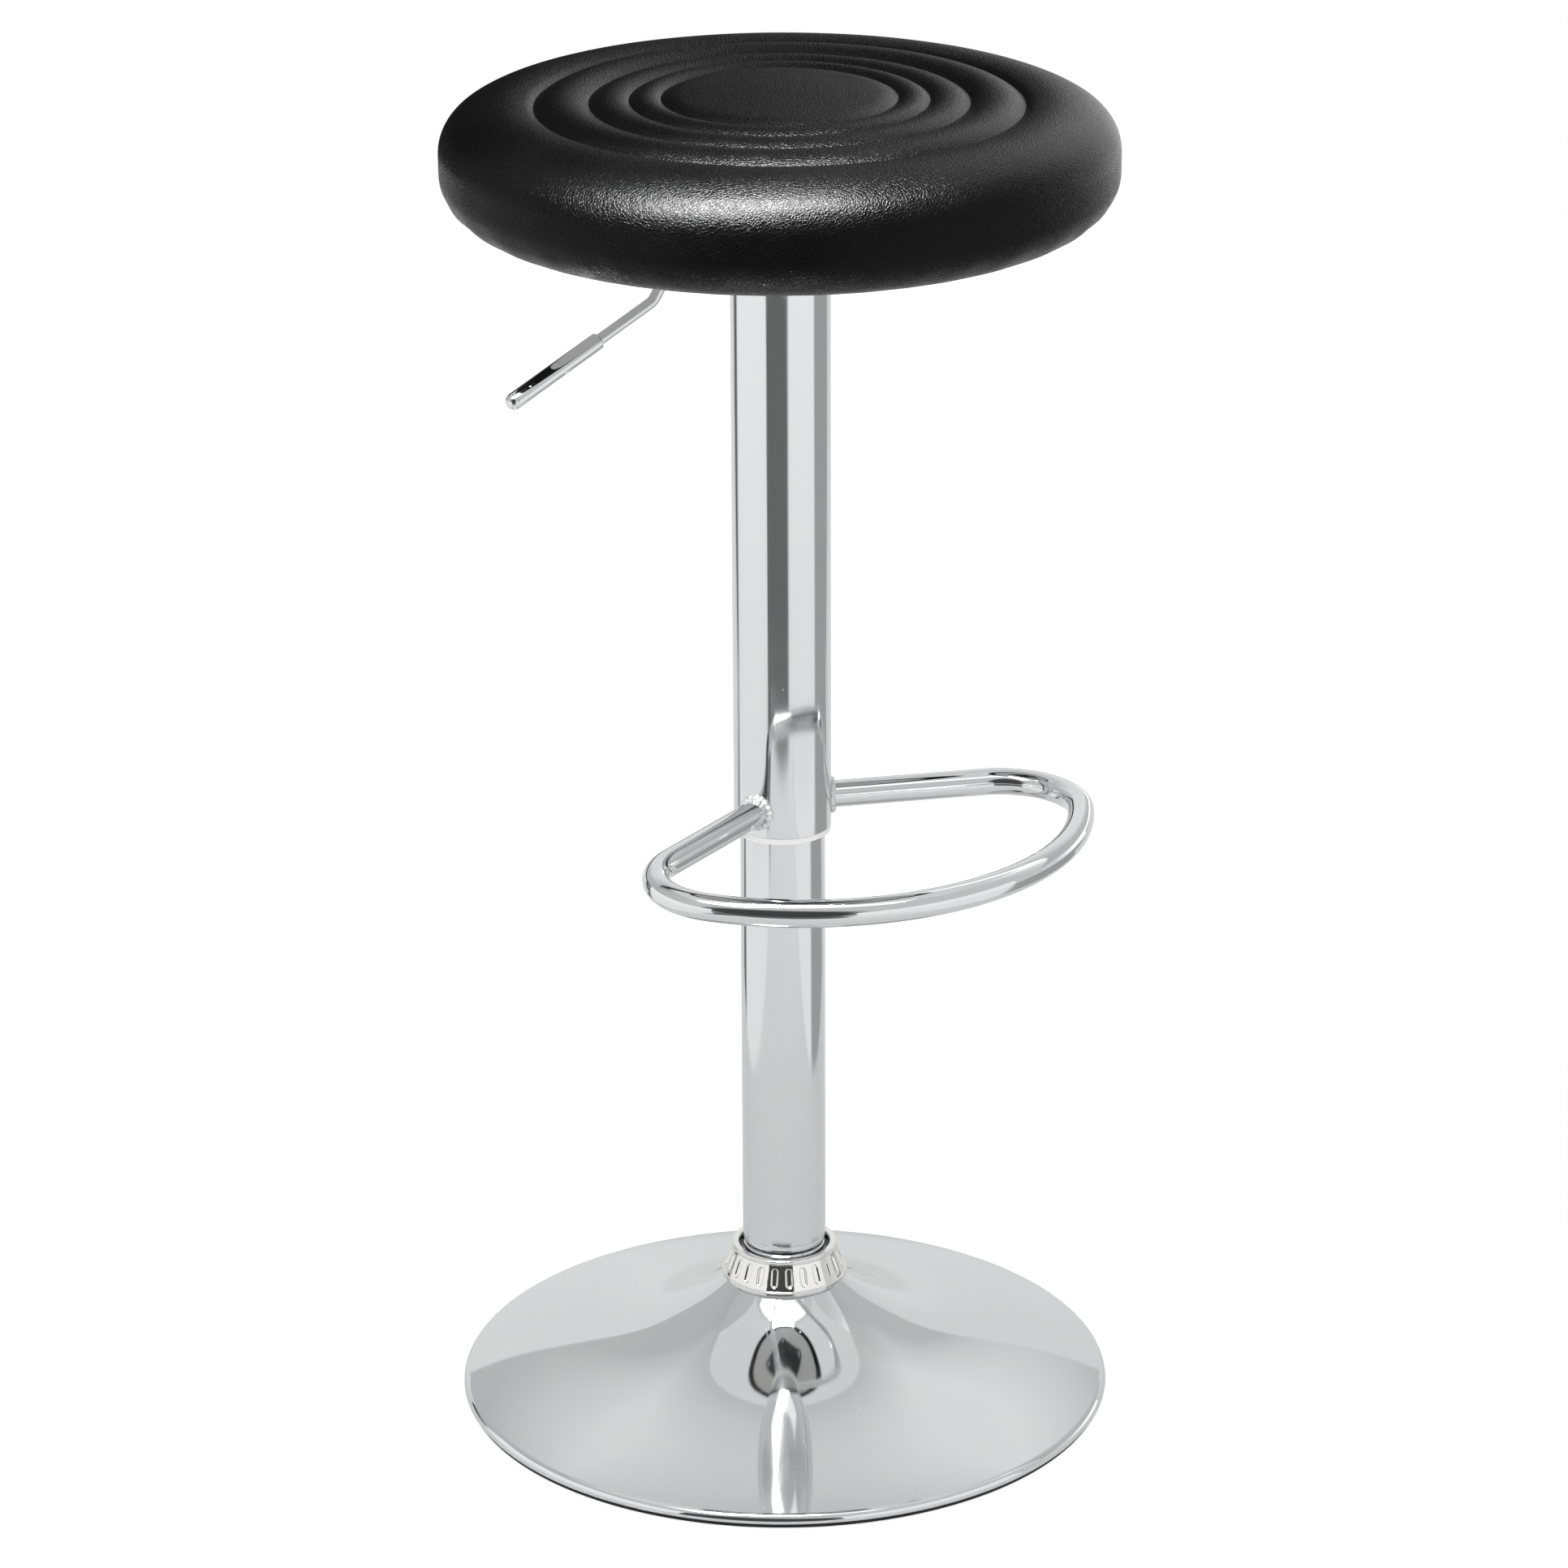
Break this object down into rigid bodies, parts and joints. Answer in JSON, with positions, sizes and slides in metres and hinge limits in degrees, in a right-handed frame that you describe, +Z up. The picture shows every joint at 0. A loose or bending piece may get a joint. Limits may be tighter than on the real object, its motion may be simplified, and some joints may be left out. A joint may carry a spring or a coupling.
{
  "type": "swivel stool",
  "caption": "Gas-lift swivel stool: round padded seat with ring channels on a chrome telescopic column, with a looped footrest, a release lever and a round flared base.",
  "frame": {"origin": "on the floor, on the column's axis, at the middle of the base", "axes": "+Z up along the column; the footrest points to -Y, the way a sitter faces, and the release lever to -X"},
  "size_m": [0.39, 0.39, 0.803],
  "materials": {
    "chrome_plate": "polished",
    "zinc_steel": "satin",
    "weld_metal": "satin",
    "chromed_plastic": "polished",
    "black_rubber": "matte",
    "grey_nylon": "satin",
    "white_nylon": "satin",
    "black_paint": "satin",
    "black_faux_leather": "satin",
    "plywood": "matte",
    "foam": "matte",
    "pale_cloth": "matte"
  },
  "bodies": {
    "base": {"floor_ring": "black_rubber", "base_shell": "chrome_plate", "base_ballast": "zinc_steel", "column_socket": "zinc_steel", "base_collar": "chromed_plastic", "column_plug": "zinc_steel", "lower_column": "chrome_plate", "column_guide": "grey_nylon", "bearing_lower_race": "zinc_steel", "bearing_balls": "zinc_steel", "bearing_cage": "grey_nylon"},
    "gas_rod": {"bearing_upper_race": "zinc_steel", "piston_rod": "zinc_steel", "piston": "zinc_steel", "piston_ring": "black_rubber", "piston_nut": "zinc_steel", "rod_buffer": "black_rubber", "rod_washer": "zinc_steel", "rod_clip": "zinc_steel"},
    "seat": {"gas_cylinder": "black_paint", "cylinder_gland": "grey_nylon", "valve_body": "zinc_steel", "upper_column": "chrome_plate", "upper_column_disc": "zinc_steel", "slide_bush": "white_nylon", "footrest": "chrome_plate", "footrest_welds": "weld_metal", "taper_hub": "zinc_steel", "mechanism_channel": "black_paint", "seat_plate": "black_paint", "pivot_pin": "zinc_steel", "pivot_clip": "zinc_steel", "seat_cover": "black_faux_leather", "seat_board": "plywood", "seat_foam": "foam", "dust_cover": "pale_cloth", "seat_bolts": "zinc_steel", "bolt_washers": "zinc_steel", "tee_nuts": "zinc_steel", "staples": "zinc_steel"},
    "lever": {"lever_rod": "chrome_plate", "lever_grip": "chrome_plate", "lever_cap": "chrome_plate", "lever_barrel": "zinc_steel"},
    "release_pin": {"release_pin": "zinc_steel"}
  },
  "joints": [
    {"name": "seat_swivel", "type": "hinge", "parent": "base", "child": "gas_rod", "pos_m": [0, 0, 0.121], "axis": [0, 0, 1], "continuous": true},
    {"name": "seat_lift", "type": "slide", "parent": "gas_rod", "child": "seat", "axis": [0, 0, 1], "range_m": [-0.21, 0]},
    {"name": "lever_pull", "type": "hinge", "parent": "seat", "child": "lever", "pos_m": [-0.029, 0, 0.7092], "axis": [0, 1, 0], "range_deg": [0, 8], "stiffness_Nm_per_rad": 2, "springref_deg": -17.19},
    {"name": "valve_press", "type": "slide", "parent": "seat", "child": "release_pin", "axis": [0, 0, -1], "range_m": [0, 0.0042]}
  ],
  "couplings": [
    {"joint": "valve_press", "follows": "lever_pull", "m_per_rad": 0.029}
  ]
}
